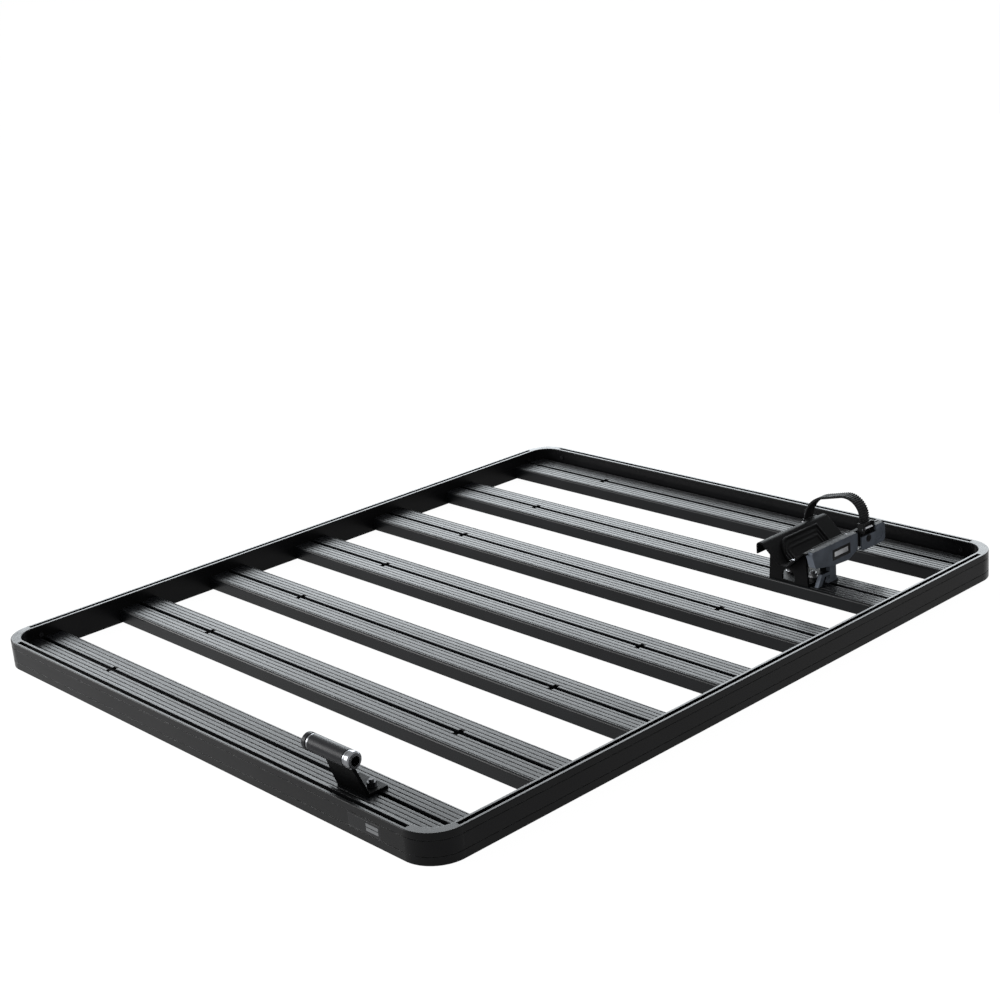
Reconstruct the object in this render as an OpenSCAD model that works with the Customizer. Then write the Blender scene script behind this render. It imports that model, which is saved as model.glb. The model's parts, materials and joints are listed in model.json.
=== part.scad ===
// Slatted roof platform that carries one bicycle: a thru-axle fork mount on the first slat
// and a wheel tray with a ratchet strap on the sixth.
// Millimetres. +Z is up, +X runs along the slats, and the fork end faces -Y.
// The origin is on the underside of the platform, at its middle.

/* [Platform] */
// Width over the side rails
rack_w = 1165; // [1000:5:1400]
// Distance from one slat to the next
slat_pitch = 202; // [170:1:240]
// Front face of the platform to the middle of the first slat
end_margin = 73; // [70:1:100]
// Outer radius of the corner castings
corner_r = 57; // [50:1:64]

/* [Rails] */
// Width of a rail
rail_w = 18; // [17:0.5:22]
// Height of a rail
rail_h = 49; // [47:0.5:58]
// Thickness of the rail's side walls
rail_wall = 2.6; // [2:0.1:3]
// Thickness of the rail's lower flanges
rail_floor = 3; // [2:0.1:4]
// Width of the slot in the rail's top
rail_slot_w = 8; // [7:0.1:8.6]
// Thickness of the lips beside that slot
rail_lip = 3; // [2:0.1:4]
// Width of the channel below that slot
rail_cell_w = 12; // [10:0.1:12.4]
// Height of the channel below that slot
rail_cell_h = 6.5; // [5:0.1:8]
// Thickness of the web under that channel
rail_web = 2.5; // [2:0.1:4]
// Width of the slot for foot bolts in the rail's underside
foot_slot_w = 8.8; // [8.6:0.1:9.6]
// Depth of the shade lines along the rail's outer face
shade_d = 0.8; // [0.4:0.1:1.2]
// Width of those shade lines
shade_w = 1.4; // [0.8:0.1:2]
// Radius of the rail's long edges
rail_edge_r = 1.5; // [0.8:0.1:2]

/* [Corner castings] */
// Length of the tongue that enters each rail
tongue_l = 30; // [24:1:40]
// Height of that tongue
tongue_h = 14; // [12:0.5:16]
// Radius of the foot-bolt hole in the underside of a corner
foot_hole_r = 4.3; // [4.2:0.1:5]
// Depth of that hole
foot_hole_d = 26; // [16:1:40]

/* [Slats] */
// Width of a slat
slat_w = 84; // [76:1:90]
// Height of a slat
slat_h = 24; // [24:0.5:26]
// Step from the rail's top down to the slat's top
slat_drop = 22; // [20:0.5:22]
// Width of the slot along the middle of a slat
slat_slot_w = 8.8; // [8.6:0.1:9.6]
// Thickness of the lips beside that slot
slat_lip = 3.5; // [3:0.1:4]
// Width of the channel below that slot
slat_cell_w = 18; // [17.6:0.1:20]
// Height of the channel below that slot
slat_cell_h = 8; // [7:0.1:8.4]
// Thickness of the slat's walls
slat_wall = 2.4; // [2:0.1:3]
// Radius of the slat's upper edges
slat_edge_r = 4; // [3:0.5:6.5]
// Depth of the grip grooves in the slat's top
groove_d = 0.9; // [0.4:0.1:1.4]
// Width of a grip groove
groove_w = 2; // [1.2:0.1:2.4]
// Spacing of the grip grooves
groove_pitch = 8.8; // [7:0.1:10]
// Edge of the slot to the middle of the first groove
groove_first = 5.7; // [4:0.1:7]
// Distance of the bolt-entry notches from the middle of the platform
notch_x = 330; // [250:5:400]
// Length of a bolt-entry notch along the slat
notch_l = 10; // [8:0.5:14]

/* [Fasteners] */
// Radius of a slat bolt and of a clamp stud
stud_r = 4; // [3.8:0.1:4.2]
// Radius of a corner screw
corner_screw_r = 2.5; // [2:0.1:3]
// Radius of the small machine screws
screw_r = 2.5; // [2:0.1:3]
// Thickness of a washer
washer_t = 1.6; // [1:0.1:2.4]
// Height of a nut
nut_h = 6.5; // [5:0.1:8]
// Width of a nut across its flats
nut_af = 13; // [12:0.5:14]

/* [Badge] */
// Width of the bare badge plate
badge_w = 70; // [50:1:100]
// Height of the badge plate
badge_h = 20; // [12:0.5:24]
// Thickness of the badge plate, flush with the rail
badge_t = 0.9; // [0.5:0.1:1.4]
// Front rail's right end to the badge
badge_gap = 50; // [20:1:200]

/* [Fork mount] */
// Place of the fork mount along its slat
fork_x = 350; // [-300:10:400]
// Height of the axle above the underside of the platform
axle_z = 98; // [94:1:115]
// How far the axle stands in front of the slat's middle
axle_lean = 44; // [36:1:50]
// Length over the axle sleeve, the fork's inside width
axle_l = 110; // [100:1:150]
// Radius of the axle bore
axle_r = 7.55; // [6.05:0.05:7.6]
// Outer radius of the hub tube
hub_r = 13.5; // [12.5:0.5:15]
// Outer radius of the axle sleeve
sleeve_r = 10.4; // [9.5:0.1:11]
// Length of a hub cap
cap_l = 11; // [8:0.5:14]
// Width of the bright ring between the hub tube and a cap
ring_w = 3; // [2:0.5:5]
// How far the hub stands to the left of the bracket's middle
hub_shift = 7; // [0:1:14]
// Width of the fork bracket's base
fork_w = 70; // [66:1:76]
// Width of the fork bracket below the hub
fork_top_w = 58; // [50:1:64]
// Thickness of the fork bracket
fork_t = 5; // [4:0.5:6]
// Spacing of the two clamp studs of the fork mount
fork_stud_gap = 40; // [36:1:42]

/* [Wheel tray] */
// Place of the wheel tray along its slat
tray_x = 350; // [-300:10:400]
// Length of the cradle in front of the slat's middle
tray_front = 52; // [46:1:70]
// Length of the cradle behind the strap's middle
tray_tail = 24; // [20:1:40]
// Height of the cradle's floor above the slat
tray_rise = 32; // [30:0.5:36]
// Depth of the cradle from its flanges to its floor
tray_depth = 34; // [32:1:36]
// Half width of the cradle's floor
tray_floor_u = 8; // [7.5:0.5:10]
// Sheet thickness of the cradle
tray_t = 3; // [2.5:0.1:3.5]
// Width of the cradle's plain right flange
flange_w = 6.7; // [6.4:0.1:8]
// Height of the cradle's turned-down left lip
lip_h = 22; // [18:1:26]
// Bend radius of the cradle
tray_bend = 4.5; // [4:0.5:5]
// Plate thickness of the tray bracket
bracket_t = 4; // [3:0.5:5]
// Half width of the tray bracket
bracket_u = 43; // [40:1:46]
// Half length of the tray bracket
bracket_v = 38; // [34:0.5:39]
// Half width of the arch in the tray bracket
arch_u = 14; // [10:1:15]
// Spacing of the two clamp studs of the wheel tray
tray_stud_gap = 50; // [44:1:56]

/* [Housing] */
// Length of the housing along the cradle
housing_l = 132; // [116:1:150]
// Height of the housing's lowest edge above the slat
housing_rise = 27; // [25:0.5:30]
// How far the housing's outer wall stands above the cradle's flange
housing_over = 2; // [1:0.5:4]
// Depth of the housing outwards from the cradle's wall
housing_d = 14.5; // [13.5:0.5:15]
// Wall of the housing
housing_wall = 2.5; // [2:0.1:3]
// Length of the bare label plate
label_w = 42; // [30:1:48]
// Height of the label plate
label_h = 11; // [8:0.5:12]
// Thickness of the label plate
label_t = 0.8; // [0.5:0.1:1]
// Width of the sunk border round the label plate
label_rim = 3; // [1:0.5:4]

/* [Strap and ratchet] */
// Rear end of the housing to the middle of the strap
strap_gap = 28; // [26:0.5:34]
// Half the strap's span from the anchor pin to the buckle
strap_r = 62; // [60:0.5:66]
// How far the middle of that span stands to the left of the cradle's middle
strap_shift = 6; // [4:0.5:10]
// Radius of the strap's bend above the anchor, at mid thickness
strap_left_r = 54; // [53:0.5:58]
// Radius of the strap's bend above the buckle, at mid thickness
strap_right_r = 34.5; // [30:0.5:40]
// How far the strap rises straight out of the buckle
strap_rise = 29; // [24:0.5:30]
// Width of the strap
strap_w = 25; // [22:0.5:26]
// Thickness of the strap without its teeth
strap_t = 3; // [2.4:0.1:3.4]
// Height of the strap's teeth
tooth_h = 1.5; // [0.8:0.1:1.8]
// Angle of the strap's tail inside the buckle, seen from the anchor pin
tail_angle = 10; // [8:0.5:10.5]
// Radius of the anchor pin
anchor_pin_r = 3; // [2.5:0.1:3.2]
// Thickness of the anchor plate and its ears
anchor_t = 3; // [2.5:0.1:3.5]
// Length of the ratchet lever along the tray
lever_l = 69; // [68:1:84]
// Drop of the lever below its hinge
lever_drop = 33; // [30:0.5:36]
// Thickness of the lever's plate
lever_t = 3.5; // [3:0.1:4.5]
// Radius of the lever's hinge pin
lever_pin_r = 2; // [1.6:0.1:2.2]
// Radius of the pawl pins
pawl_pin_r = 1.5; // [1.2:0.1:1.6]
// Radius of the release button
button_r = 5; // [4:0.1:5.4]
// Travel of the release button
button_travel = 1.8; // [1.2:0.1:2]

/* [Hidden] */

$fn = 48;
slat_count = 7;
fork_slat = 1;
tray_slat = 6;
// Overlap of a cutting shape past the face it cuts
eps = 0.5;
// Gap of a threaded or pressed pair, a running pair and a clearance hole
press_gap = 0.02;
run_gap = 0.05;
hole_gap = 0.4;
// Gap between pieces that move past each other
move_gap = 0.5;

rack_l = 2 * end_margin + (slat_count - 1) * slat_pitch;
slat_top = rail_h - slat_drop;
slat_l = rack_w - 2 * rail_w;
function slat_y(i) = -rack_l / 2 + end_margin + (i - 1) * slat_pitch;

// Rail chamber below the web, where the slat bolts' heads and the corner tongues sit
chamber_top = rail_h - rail_lip - rail_cell_h - rail_web;
rail_in = rack_w / 2 - rail_w;
slat_bolt_z = slat_top - slat_lip - slat_cell_h - stud_r - 1.5;
slat_foot = 8;
slat_bolt_l = 24;
bolt_head_r = stud_r + 2;
bolt_head_h = 4.5;
port_r = stud_r + 2.2;
corner_screw_z = chamber_top - corner_screw_r - 1.5;
corner_screw_in = 14;
corner_screw_head_r = corner_screw_r + 1.6;
corner_screw_head_h = 2.4;
corner_screw_l = rail_w - rail_wall - 3;
shade_rows = [0.27, 0.77];
badge_x = rack_w / 2 - corner_r - badge_gap - badge_w / 2;

// Fork mount: the axle's place and the clamp stack on the slat
fork_y = slat_y(fork_slat);
axle = [fork_y - axle_lean, axle_z];
fork_base_front = 20;
fork_base_rear = 17;
bar_t = 5;
bar_w = slat_cell_w - 1;
bar_margin = 11;
bar_top = slat_top - slat_lip;
stud_tip = 4;
washer_r = 2 * stud_r;
fork_seat = slat_top + fork_t;
hub_x = fork_x - hub_shift;
cap_inset = 1;
tube_half = axle_l / 2 - cap_inset - cap_l - ring_w;
sleeve_seat = sleeve_r + press_gap;

// Wheel tray: heights and the cradle's folded section
tray_y = slat_y(tray_slat);
floor_z = slat_top + tray_rise;
flange_z = floor_z + tray_depth;
eye_r = anchor_pin_r + 2.5;
anchor_clear = 0.8;
flange_clear = 1.8;
rivet_head_r = screw_r + 1.3;
rivet_head_h = 1.4;
lip_out = strap_r + strap_shift - eye_r - anchor_clear - anchor_t;
flange_u = strap_r - strap_shift - strap_t / 2 - flange_clear;
tray_wall_u = flange_u - flange_w;
housing_y0 = -tray_front + 2;
housing_y1 = housing_y0 + housing_l;
strap_y = housing_y1 + strap_gap;
tray_rear = strap_y + tray_tail;
lip_in = lip_out - tray_t;
lip_z = flange_z + tray_t - lip_h;
cradle_line = [
  [-lip_in, lip_z], [-lip_in, flange_z], [-tray_wall_u, flange_z],
  [-tray_floor_u, floor_z], [tray_floor_u, floor_z],
  [tray_wall_u, flange_z], [flange_u, flange_z]
];
flange_edge = tray_x + flange_u;
tray_seat = slat_top + bracket_t;
tab_l = 18;
cradle_screw_v = bracket_v - bracket_t - tab_l / 2;
cradle_screw_r = screw_r + 0.5;
cradle_nut_h = 5;
button_head_h = 3;

// Housing under the right flange, with its outer wall standing past the flange's edge
housing_x0 = tray_x + tray_wall_u + 2;
housing_x1 = housing_x0 + housing_d;
housing_z = slat_top + housing_rise;
housing_top = flange_z + tray_t + housing_over;
past_flange = flange_edge + move_gap;
flange_screw_r = screw_r - 1;
flange_head_r = flange_screw_r + 0.9;
flange_head_h = 1.6;
flange_screw_l = 12;
flange_screw_x = flange_edge - flange_head_r - 0.05;
housing_screw_y = [tray_y + housing_y0 + 18, tray_y + housing_y1 - 18];
boss_w = 8;
boss_h = 14;
leg_x0 = housing_x0 + 4;
leg_t = 8;
label_v = housing_y0 + 0.64 * housing_l;
label_z = (housing_z + housing_top) / 2;
label_sink = label_t + 0.5;
housing_line = [
  [housing_y0, housing_top], [housing_y0 + 0.08 * housing_l, housing_z + 12],
  [housing_y0 + 0.45 * housing_l, housing_z + 3], [housing_y0 + 0.79 * housing_l, housing_z],
  [housing_y1, housing_z + 12], [housing_y1, housing_top]
];

// Strap: two bends joined by a flat, from the anchor pin to the buckle, then a tail centred on that pin
strap_z = flange_z + tray_t - 9;
strap_mid = tray_y + strap_y;
anchor = [tray_x - strap_shift - strap_r, strap_z];
tail_r = 2 * strap_r;
left_c = anchor + [strap_left_r, 0];
right_c = anchor + [tail_r - strap_right_r, strap_rise];
bend_gap = right_c - left_c;
flat_turn = atan2(bend_gap[1], bend_gap[0]) + acos((strap_left_r - strap_right_r) / norm(bend_gap));
smooth_turn = 12;
tooth_pitch = 4.4;
crest_r = tail_r + strap_t / 2 + tooth_h;
frame_screw_y = [strap_mid - 7, strap_mid + 7];
channel_in = tail_r - strap_t / 2 - 0.4;
channel_out = crest_r + move_gap;
crest_x = anchor[0] + crest_r;

// Ratchet: cheeks beside the strap, hinge lugs behind it
cheek_t = 2.6;
cheek_in = strap_w / 2 + 0.4;
cheek_out = cheek_in + cheek_t;
lever_hub_r = lever_pin_r + 2;
lever_pin = [crest_x + 3, strap_z + 9];
lever_x0 = lever_pin[0] + lever_hub_r + move_gap;
lever_x1 = lever_x0 + lever_t;
lever_y0 = tray_y + housing_y1 + 2.5;
lever_y1 = lever_y0 + lever_l;
lever_z0 = lever_pin[1] - lever_drop;
lever_cover_top = lever_pin[1] - 7;
lug_t = 4;
lug_a = strap_mid + cheek_out + 2;
lug_b = lever_y1 - lug_t - 0.5;
frame_rise = 13;
frame_top = lever_pin[1] + frame_rise;
back_x = past_flange + 4;
cheek_z = lever_cover_top + 2;
hold_pin = [crest_x + 4.5, lever_pin[1] + 2.5];
hold_hub_r = pawl_pin_r + 1.3;
drive_hub_r = pawl_pin_r + 1.5;
drive_drop = 20;
drive_z = lever_pin[1] - drive_drop;
drive_pin = [off_teeth(drive_z, drive_hub_r + 0.7)[0], drive_z];
ear_in = strap_w / 2 + 0.3;
ear_out = cheek_out - 0.5;
spring_w = 3.5;
pawl_w = strap_w - 1;
button_y = strap_mid - 6;
button_z = drive_z + 6;
stem_r = 1.2;
stem_gap = 0.4;
button_back = 1;
button_out = button_travel / 2 + 0.1;
arm_t = 2.4;
lever_dish_r = 11;
lever_dish_d = 0.6;

function unit(v) = v / norm(v);
function left_of(v) = [-v[1], v[0]];
function polar(a) = [cos(a), sin(a)];
function arc(c, r, a0, a1, n) = [for (i = [0:n]) c + r * polar(a0 + (a1 - a0) * i / n)];

// Point i of a folded line, moved sideways by t
function mitre(p, i, t) =
  let (
    last = len(p) - 1,
    b = left_of(unit(i == last ? p[i] - p[i - 1] : p[i + 1] - p[i])),
    a = i == 0 ? b : left_of(unit(p[i] - p[i - 1]))
  )
  p[i] + t * (a + b) / (1 + a * b);

// Closed outline of a sheet of thickness t folded along the line p
function sheet(p, t) = concat(p, [for (i = [len(p) - 1:-1:0]) mitre(p, i, t)]);

// Line p with every inner corner rounded to radius r
function bend(p, r, n) =
  let (last = len(p) - 1)
  [for (i = [0:last]) each
    i == 0 || i == last ? [p[i]] :
    let (
      a = unit(p[i - 1] - p[i]),
      b = unit(p[i + 1] - p[i]),
      half = acos(a * b) / 2,
      c = p[i] + unit(a + b) * r / sin(half),
      from = p[i] + a * r / tan(half) - c,
      to = p[i] + b * r / tan(half) - c,
      start = atan2(from[1], from[0]),
      turn = atan2(from[0] * to[1] - from[1] * to[0], from * to)
    )
    arc(c, r, start, start + turn, n)
  ];

// Closed outline p with its corners rounded to radius r
function soften(p, r, n) =
  let (m = (p[0] + p[len(p) - 1]) / 2, b = bend(concat([m], p, [m]), r, n))
  [for (i = [0:len(b) - 2]) b[i]];

// Closed outline p drawn in by t
function inset(p, t) =
  let (n = len(p), ring = concat([p[n - 1]], p, [p[0]]))
  [for (i = [1:n]) mitre(ring, i, t)];

// Point outside the strap's teeth, at height z and a gap g from their crests
function off_teeth(z, g) = [anchor[0] + sqrt(pow(crest_r + g, 2) - pow(z - anchor[1], 2)), z];

// Rectangle from lo to hi with its two upper corners rounded
function arched_box(lo, hi, r) = concat(
  [[lo[0], lo[1]], [hi[0], lo[1]]],
  arc([hi[0] - r, hi[1] - r], r, 0, 90, 6),
  arc([lo[0] + r, hi[1] - r], r, 90, 180, 6)
);

// Box between two corners
module block(lo, hi) {
  translate(lo) cube(hi - lo);
}

// Round bar along X, Y or Z from a start point
module bar_x(p, r, l) {
  translate(p) rotate([0, 90, 0]) cylinder(r = r, h = l);
}

module bar_y(p, r, l) {
  translate(p) rotate([-90, 0, 0]) cylinder(r = r, h = l);
}

module bar_z(p, r, l) {
  translate(p) cylinder(r = r, h = l);
}

// Plane shape drawn in Y and Z, standing from x0 to x1
module upright_x(x0, x1) {
  translate([x0, 0, 0]) rotate([90, 0, 90]) linear_extrude(x1 - x0) children();
}

// Plane shape drawn in X and Z, standing from y0 to y1
module upright_y(y0, y1) {
  translate([0, y1, 0]) rotate([90, 0, 0]) linear_extrude(y1 - y0) children();
}

module at_corners() {
  for (sx = [-1, 1], sy = [-1, 1]) to_corner(sx, sy) children();
}

module to_corner(sx, sy) {
  mirror([sx < 0 ? 1 : 0, 0, 0]) mirror([0, sy < 0 ? 1 : 0, 0]) children();
}

// Rails

module rail_outline() {
  polygon(arched_box([0, 0], [rail_w, rail_h], rail_edge_r));
}

module shade_lines() {
  for (row = shade_rows) translate([-eps, row * rail_h - shade_w / 2]) square([shade_d + eps, shade_w]);
}

module rail_section() {
  difference() {
    rail_outline();
    shade_lines();
    translate([(rail_w - rail_slot_w) / 2, rail_h - rail_lip - eps])
      square([rail_slot_w, rail_lip + 2 * eps]);
    translate([(rail_w - rail_cell_w) / 2, rail_h - rail_lip - rail_cell_h])
      square([rail_cell_w, rail_cell_h]);
    translate([rail_wall, rail_floor]) square([rail_w - 2 * rail_wall, chamber_top - rail_floor]);
    translate([(rail_w - foot_slot_w) / 2, -eps]) square([foot_slot_w, rail_floor + 2 * eps]);
  }
}

module corner_screw_holes() {
  at_corners() {
    side_screw_axis() bar_z([0, 0, -rail_wall - eps], corner_screw_r + hole_gap, rail_wall + 2 * eps);
    end_screw_axis() bar_z([0, 0, -rail_wall - eps], corner_screw_r + hole_gap, rail_wall + 2 * eps);
  }
}

// Local +Z points out of a side rail's inner wall, with zero on that wall
module side_screw_axis() {
  translate([rail_in, rack_l / 2 - corner_r - corner_screw_in, corner_screw_z])
    rotate([0, -90, 0]) children();
}

// Local +Z points out of an end rail's inner wall, with zero on that wall
module end_screw_axis() {
  translate([rack_w / 2 - corner_r - corner_screw_in, rack_l / 2 - rail_w, corner_screw_z])
    rotate([90, 0, 0]) children();
}

module side_rail() {
  difference() {
    translate([-rack_w / 2, 0, 0]) rotate([90, 0, 0])
      linear_extrude(rack_l - 2 * corner_r, center = true) rail_section();
    corner_screw_holes();
    for (i = [1:slat_count])
      bar_x([-rail_in - rail_wall - eps, slat_y(i), slat_bolt_z], stud_r + hole_gap, rail_wall + 2 * eps);
  }
}

module end_rail() {
  difference() {
    translate([0, -rack_l / 2, 0]) rotate([90, 0, 90])
      linear_extrude(rack_w - 2 * corner_r, center = true) rail_section();
    corner_screw_holes();
  }
}

module badge_box(grow) {
  translate([badge_x, -rack_l / 2 + badge_t, rail_h / 2])
    upright_y(-badge_t - grow, 0) square([badge_w, badge_h], center = true);
}

module front_rail() {
  color("#1c1d1f") difference() {
    end_rail();
    badge_box(eps);
  }
}

module rear_rail() {
  color("#1c1d1f") mirror([0, 1, 0]) end_rail();
}

module left_rail() {
  color("#1c1d1f") side_rail();
}

module right_rail() {
  color("#1c1d1f") mirror([1, 0, 0]) side_rail();
}

module badge_plate() {
  color("#2b2c2e") badge_box(0);
}

// Corner castings

module tongue() {
  half = rail_w / 2 - rail_wall - 0.2;
  top = chamber_top - 0.2;
  block([-half, -tongue_l, top - tongue_h], [half, eps, top]);
}

module corner_casting() {
  centre = [rack_w / 2 - corner_r, rack_l / 2 - corner_r, 0];
  foot_at = (corner_r - rail_w / 2) * cos(45);
  difference() {
    union() {
      translate(centre) rotate_extrude(angle = 90, $fn = 96)
        translate([corner_r, 0]) mirror([1, 0]) difference() {
          rail_outline();
          shade_lines();
        }
      translate([rack_w / 2 - rail_w / 2, centre[1], 0]) tongue();
      translate([centre[0], rack_l / 2 - rail_w / 2, 0]) rotate([0, 0, -90]) tongue();
    }
    bar_z(centre + [foot_at, foot_at, -eps], foot_hole_r, foot_hole_d + eps);
    side_screw_axis() bar_z([0, 0, -rail_w], corner_screw_r + press_gap, rail_w + eps);
    end_screw_axis() bar_z([0, 0, -rail_w], corner_screw_r + press_gap, rail_w + eps);
  }
}

module corner_front_left() {
  color("#5a5d60") to_corner(-1, -1) corner_casting();
}

module corner_front_right() {
  color("#5a5d60") to_corner(1, -1) corner_casting();
}

module corner_rear_left() {
  color("#5a5d60") to_corner(-1, 1) corner_casting();
}

module corner_rear_right() {
  color("#5a5d60") to_corner(1, 1) corner_casting();
}

module corner_screw() {
  bar_z([0, 0, -corner_screw_l], corner_screw_r, corner_screw_l);
  difference() {
    bar_z([0, 0, 0], corner_screw_head_r, corner_screw_head_h);
    translate([0, 0, corner_screw_head_h - 1.2]) cylinder(r = corner_screw_r * 0.75, h = 1.2 + eps, $fn = 6);
  }
}

module corner_screws() {
  color("#2a2a2d") at_corners() {
    side_screw_axis() corner_screw();
    end_screw_axis() corner_screw();
  }
}

// Slats

module slat_section() {
  half = slat_w / 2;
  bottom = slat_top - slat_h;
  cell_z = slat_top - slat_lip - slat_cell_h;
  groove_y = slat_slot_w / 2 + groove_first;
  groove_count = floor((half - slat_edge_r - groove_w / 2 - groove_y) / groove_pitch);
  difference() {
    intersection() {
      polygon(arched_box([-half, bottom], [half, slat_top], slat_edge_r));
      union() {
        translate([-half, slat_top - slat_lip]) square([slat_w, slat_lip]);
        for (side = [-1, 1]) {
          translate([side * (half - slat_wall / 2), slat_top - slat_h / 2])
            square([slat_wall, slat_h], center = true);
          translate([side * (half - slat_foot / 2), bottom + slat_wall / 2])
            square([slat_foot, slat_wall], center = true);
          translate([side * (half - slat_edge_r / 2), slat_top - slat_edge_r / 2])
            square(slat_edge_r, center = true);
        }
        translate([-slat_cell_w / 2 - slat_wall, cell_z - slat_wall])
          square([slat_cell_w + 2 * slat_wall, slat_cell_h + slat_wall + slat_lip / 2]);
        translate([0, slat_bolt_z]) circle(r = port_r);
      }
    }
    translate([-slat_slot_w / 2, slat_top - slat_lip - eps]) square([slat_slot_w, slat_lip + 2 * eps]);
    translate([-slat_cell_w / 2, cell_z]) square([slat_cell_w, slat_cell_h]);
    translate([0, slat_bolt_z]) circle(r = stud_r + press_gap);
    for (side = [-1, 1], k = [0:groove_count])
      translate([side * (groove_y + k * groove_pitch) - groove_w / 2, slat_top - groove_d])
        square([groove_w, groove_d + eps]);
  }
}

// Space of a corner casting, which the end slats are cut back from
module corner_room() {
  translate([rack_w / 2 - corner_r, rack_l / 2 - corner_r, 0]) difference() {
    cube([corner_r, corner_r, rail_h]);
    bar_z([0, 0, -eps], corner_r - rail_w - hole_gap, rail_h + 2 * eps);
  }
}

module slat(i) {
  color("#6d737a") difference() {
    translate([0, slat_y(i), 0]) upright_x(-slat_l / 2, slat_l / 2) slat_section();
    if (i == 1 || i == slat_count) at_corners() corner_room();
    for (side = [-1, 1])
      translate([side * notch_x, slat_y(i), slat_top - slat_lip / 2])
        cube([notch_l, slat_cell_w, slat_lip + 2 * eps], center = true);
  }
}

module slat_bolt() {
  bar_x([rail_in - slat_bolt_l, 0, slat_bolt_z], stud_r, slat_bolt_l + rail_wall + eps);
  difference() {
    bar_x([rail_in + rail_wall, 0, slat_bolt_z], bolt_head_r, bolt_head_h);
    bar_x_hex([rail_in + rail_wall + bolt_head_h - 2, 0, slat_bolt_z], stud_r * 0.7, 2 + eps);
  }
}

module bar_x_hex(p, r, l) {
  translate(p) rotate([0, 90, 0]) cylinder(r = r, h = l, $fn = 6);
}

module slat_bolts() {
  color("#2a2a2d") for (i = [1:slat_count], side = [0, 1])
    mirror([side, 0, 0]) translate([0, slat_y(i), 0]) slat_bolt();
}

// Clamp sets that hold a mount to a slat: a bar in the channel, studs, washers and nuts

module slot_bar(x, y, gap) {
  l = gap + 2 * bar_margin;
  difference() {
    block([x - l / 2, y - bar_w / 2, bar_top - bar_t], [x + l / 2, y + bar_w / 2, bar_top]);
    for (side = [-1, 1])
      bar_z([x + side * gap / 2, y, bar_top - bar_t - eps], stud_r + press_gap, bar_t + 2 * eps);
  }
}

module studs(x, y, gap, seat) {
  z0 = bar_top - bar_t;
  for (side = [-1, 1])
    bar_z([x + side * gap / 2, y, z0], stud_r, seat + washer_t + nut_h + stud_tip - z0);
}

module washers(x, y, gap, seat) {
  for (side = [-1, 1]) translate([x + side * gap / 2, y, seat]) difference() {
    cylinder(r = washer_r, h = washer_t);
    bar_z([0, 0, -eps], stud_r + hole_gap / 2, washer_t + 2 * eps);
  }
}

module hex_nut(af, r, h) {
  difference() {
    cylinder(r = af / sqrt(3), h = h, $fn = 6);
    bar_z([0, 0, -eps], r + press_gap, h + 2 * eps);
  }
}

module nuts(x, y, gap, seat) {
  for (side = [-1, 1])
    translate([x + side * gap / 2, y, seat + washer_t]) hex_nut(nut_af, stud_r, nut_h);
}

module fork_slot_bar() {
  color("dimgray") slot_bar(fork_x, fork_y, fork_stud_gap);
}

module fork_studs() {
  color("silver") studs(fork_x, fork_y, fork_stud_gap, fork_seat);
}

module fork_washers() {
  color("silver") washers(fork_x, fork_y, fork_stud_gap, fork_seat);
}

module fork_nuts() {
  color("#2a2a2d") nuts(fork_x, fork_y, fork_stud_gap, fork_seat);
}

module tray_slot_bar() {
  color("dimgray") slot_bar(tray_x, tray_y, tray_stud_gap);
}

module tray_studs() {
  color("silver") studs(tray_x, tray_y, tray_stud_gap, tray_seat);
}

module tray_washers() {
  color("silver") washers(tray_x, tray_y, tray_stud_gap, tray_seat);
}

module tray_nuts() {
  color("silver") nuts(tray_x, tray_y, tray_stud_gap, tray_seat);
}

// Fork mount

module fork_bracket() {
  bend_at = [fork_y - fork_base_front, slat_top];
  rise = unit(axle - bend_at);
  back = [rise[1], -rise[0]];
  lean_line = [[fork_y + fork_base_rear, slat_top], bend_at, axle - back * fork_t / 2];
  half = fork_w / 2;
  top_half = fork_top_w / 2;
  shoulder = fork_seat + 6;
  color("#141416") difference() {
    intersection() {
      upright_x(fork_x - half, fork_x + half) polygon(sheet(lean_line, -fork_t));
      translate([fork_x, 0, 0]) upright_y(axle[0] - hub_r, fork_y + fork_base_rear)
        polygon([[-half, slat_top], [half, slat_top], [half, shoulder], [top_half, axle_z],
          [-top_half, axle_z], [-half, shoulder]]);
    }
    bar_x([fork_x - fork_w, axle[0], axle[1]], hub_r + press_gap, 2 * fork_w);
    for (side = [-1, 1])
      bar_z([fork_x + side * fork_stud_gap / 2, fork_y, slat_top - eps],
        stud_r + hole_gap, fork_t + 2 * eps);
  }
}

// Ring of revolution about the axle, from a to b along it
module axle_ring(a, b, r_in, r_out, edge) {
  l = b - a;
  translate([hub_x, axle[0], axle[1]]) rotate([0, 90, 0]) rotate_extrude($fn = 96) translate([0, a])
    polygon([[r_in, 0], [r_out - edge, 0], [r_out, edge], [r_out, l - edge], [r_out - edge, l], [r_in, l]]);
}

module hub_tube() {
  color("#2a2c2f") axle_ring(-tube_half, tube_half, sleeve_seat, hub_r, 0.6);
}

module hub_rings() {
  color("silver") for (a = [-tube_half - ring_w, tube_half])
    axle_ring(a, a + ring_w, sleeve_seat, hub_r - 0.8, 0.4);
}

module hub_cap_left() {
  color("#2a2c2f") axle_ring(-tube_half - ring_w - cap_l, -tube_half - ring_w, sleeve_seat, hub_r, 2);
}

module hub_cap_right() {
  color("#2a2c2f") axle_ring(tube_half + ring_w, tube_half + ring_w + cap_l, sleeve_seat, hub_r, 2);
}

module axle_sleeve() {
  color("silver") axle_ring(-axle_l / 2, axle_l / 2, axle_r, sleeve_r, 0);
}

// Wheel tray

module cradle_screw_points() {
  for (side = [-1, 1]) translate([tray_x, tray_y + side * cradle_screw_v, 0]) children();
}

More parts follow.
